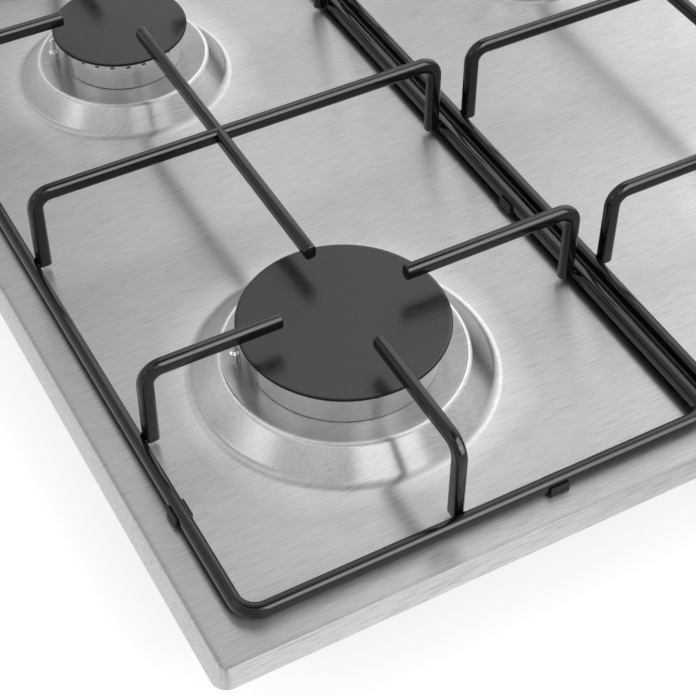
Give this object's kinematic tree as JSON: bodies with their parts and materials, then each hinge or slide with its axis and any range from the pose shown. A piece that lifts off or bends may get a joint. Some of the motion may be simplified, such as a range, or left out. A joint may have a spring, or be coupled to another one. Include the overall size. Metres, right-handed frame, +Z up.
{
  "type": "gas cooktop",
  "caption": "Built-in gas cooktop: brushed steel plate with pressed burner mounds, wire pan supports, lift-off caps and side control knobs.",
  "frame": {"origin": "under the middle of the top plate, level with the underside of the bottom tray", "axes": "+X along the front edge towards the control knobs, +Y from the front edge to the rear, +Z up"},
  "size_m": [0.58, 0.51, 0.0998],
  "materials": {
    "brushed_steel": "brushed along the width, satin",
    "tray_steel": "zinc-coated sheet, dull spangle",
    "support_enamel": "satin black enamel",
    "cap_enamel": "fine matt black enamel",
    "cast_aluminium": "fine blasted casting",
    "drawn_aluminium": "drawn tube, satin",
    "brass": "machined",
    "plated_steel": "zinc plated",
    "electrode_ceramic": "glazed ceramic",
    "foot_rubber": "moulded black rubber",
    "seal_foam": "closed-cell foam strip",
    "knob_plastic": "satin moulded",
    "grey_plastic": "moulded",
    "gland_plastic": "moulded"
  },
  "bodies": {
    "hob": {"burner_body_front_left": "cast_aluminium", "injector_front_left": "brass", "electrode_front_left": "electrode_ceramic", "gas_tap_front_left": "brass", "supply_pipe_front_left": "drawn_aluminium", "burner_body_rear_left": "cast_aluminium", "injector_rear_left": "brass", "electrode_rear_left": "electrode_ceramic", "gas_tap_rear_left": "brass", "supply_pipe_rear_left": "drawn_aluminium", "burner_body_rear_right": "cast_aluminium", "injector_rear_right": "brass", "electrode_rear_right": "electrode_ceramic", "gas_tap_rear_right": "brass", "supply_pipe_rear_right": "drawn_aluminium", "burner_body_front_right": "cast_aluminium", "injector_front_right": "brass", "electrode_front_right": "electrode_ceramic", "gas_tap_front_right": "brass", "supply_pipe_front_right": "drawn_aluminium", "top_plate": "brushed_steel", "bottom_tray": "tray_steel", "worktop_seal": "seal_foam", "gas_rail": "plated_steel", "gas_inlet": "brass", "spark_generator": "grey_plastic", "mains_gland": "gland_plastic"},
    "support_left": {"pan_support_left": "support_enamel", "foot_left_front": "foot_rubber", "foot_left_rear": "foot_rubber", "foot_left_outer_front": "foot_rubber", "foot_left_outer_rear": "foot_rubber", "foot_left_inner": "foot_rubber"},
    "support_right": {"pan_support_right": "support_enamel", "foot_right_front": "foot_rubber", "foot_right_rear": "foot_rubber", "foot_right_outer_front": "foot_rubber", "foot_right_outer_rear": "foot_rubber", "foot_right_inner": "foot_rubber"},
    "crown_front_left": {"burner_crown_front_left": "cast_aluminium"},
    "cap_front_left": {"burner_cap_front_left": "cap_enamel"},
    "spindle_front_left": {"spindle_front_left": "plated_steel"},
    "knob_front_left": {"control_knob_front_left": "knob_plastic"},
    "crown_rear_left": {"burner_crown_rear_left": "cast_aluminium"},
    "cap_rear_left": {"burner_cap_rear_left": "cap_enamel"},
    "spindle_rear_left": {"spindle_rear_left": "plated_steel"},
    "knob_rear_left": {"control_knob_rear_left": "knob_plastic"},
    "crown_rear_right": {"burner_crown_rear_right": "cast_aluminium"},
    "cap_rear_right": {"burner_cap_rear_right": "cap_enamel"},
    "spindle_rear_right": {"spindle_rear_right": "plated_steel"},
    "knob_rear_right": {"control_knob_rear_right": "knob_plastic"},
    "crown_front_right": {"burner_crown_front_right": "cast_aluminium"},
    "cap_front_right": {"burner_cap_front_right": "cap_enamel"},
    "spindle_front_right": {"spindle_front_right": "plated_steel"},
    "knob_front_right": {"control_knob_front_right": "knob_plastic"},
    "clamp_front_left": {"worktop_clamp_front_left": "plated_steel"},
    "clamp_rear_left": {"worktop_clamp_rear_left": "plated_steel"},
    "clamp_front_right": {"worktop_clamp_front_right": "plated_steel"},
    "clamp_rear_right": {"worktop_clamp_rear_right": "plated_steel"}
  },
  "joints": [
    {"name": "support_left_lift", "type": "slide", "parent": "hob", "child": "support_left", "axis": [0, 0, 1], "range_m": [0, 0.08]},
    {"name": "support_right_lift", "type": "slide", "parent": "hob", "child": "support_right", "axis": [0, 0, 1], "range_m": [0, 0.08]},
    {"name": "crown_front_left_lift", "type": "slide", "parent": "hob", "child": "crown_front_left", "axis": [0, 0, 1], "range_m": [0, 0.004]},
    {"name": "cap_front_left_lift", "type": "slide", "parent": "crown_front_left", "child": "cap_front_left", "axis": [0, 0, 1], "range_m": [0, 0.005]},
    {"name": "spindle_front_left_turn", "type": "hinge", "parent": "hob", "child": "spindle_front_left", "pos_m": [0.2482, -0.031, 0.05], "axis": [0, 0, 1], "range_deg": [0, 210]},
    {"name": "knob_front_left_push", "type": "slide", "parent": "spindle_front_left", "child": "knob_front_left", "axis": [0, 0, -1], "range_m": [0, 0.003], "stiffness_N_per_m": 1500, "springref_m": -0.001},
    {"name": "crown_rear_left_lift", "type": "slide", "parent": "hob", "child": "crown_rear_left", "axis": [0, 0, 1], "range_m": [0, 0.004]},
    {"name": "cap_rear_left_lift", "type": "slide", "parent": "crown_rear_left", "child": "cap_rear_left", "axis": [0, 0, 1], "range_m": [0, 0.005]},
    {"name": "spindle_rear_left_turn", "type": "hinge", "parent": "hob", "child": "spindle_rear_left", "pos_m": [0.2482, 0.031, 0.05], "axis": [0, 0, 1], "range_deg": [0, 210]},
    {"name": "knob_rear_left_push", "type": "slide", "parent": "spindle_rear_left", "child": "knob_rear_left", "axis": [0, 0, -1], "range_m": [0, 0.003], "stiffness_N_per_m": 1500, "springref_m": -0.001},
    {"name": "crown_rear_right_lift", "type": "slide", "parent": "hob", "child": "crown_rear_right", "axis": [0, 0, 1], "range_m": [0, 0.004]},
    {"name": "cap_rear_right_lift", "type": "slide", "parent": "crown_rear_right", "child": "cap_rear_right", "axis": [0, 0, 1], "range_m": [0, 0.005]},
    {"name": "spindle_rear_right_turn", "type": "hinge", "parent": "hob", "child": "spindle_rear_right", "pos_m": [0.2482, 0.093, 0.05], "axis": [0, 0, 1], "range_deg": [0, 210]},
    {"name": "knob_rear_right_push", "type": "slide", "parent": "spindle_rear_right", "child": "knob_rear_right", "axis": [0, 0, -1], "range_m": [0, 0.003], "stiffness_N_per_m": 1500, "springref_m": -0.001},
    {"name": "crown_front_right_lift", "type": "slide", "parent": "hob", "child": "crown_front_right", "axis": [0, 0, 1], "range_m": [0, 0.004]},
    {"name": "cap_front_right_lift", "type": "slide", "parent": "crown_front_right", "child": "cap_front_right", "axis": [0, 0, 1], "range_m": [0, 0.005]},
    {"name": "spindle_front_right_turn", "type": "hinge", "parent": "hob", "child": "spindle_front_right", "pos_m": [0.2482, -0.093, 0.05], "axis": [0, 0, 1], "range_deg": [0, 210]},
    {"name": "knob_front_right_push", "type": "slide", "parent": "spindle_front_right", "child": "knob_front_right", "axis": [0, 0, -1], "range_m": [0, 0.003], "stiffness_N_per_m": 1500, "springref_m": -0.001},
    {"name": "clamp_front_left_turn", "type": "hinge", "parent": "hob", "child": "clamp_front_left", "pos_m": [-0.268, -0.15, 0.02], "axis": [0, 0, 1], "range_deg": [0, 90]},
    {"name": "clamp_rear_left_turn", "type": "hinge", "parent": "hob", "child": "clamp_rear_left", "pos_m": [-0.268, 0.15, 0.02], "axis": [0, 0, 1], "range_deg": [-90, 0]},
    {"name": "clamp_front_right_turn", "type": "hinge", "parent": "hob", "child": "clamp_front_right", "pos_m": [0.268, -0.15, 0.02], "axis": [0, 0, 1], "range_deg": [-90, 0]},
    {"name": "clamp_rear_right_turn", "type": "hinge", "parent": "hob", "child": "clamp_rear_right", "pos_m": [0.268, 0.15, 0.02], "axis": [0, 0, 1], "range_deg": [0, 90]}
  ]
}
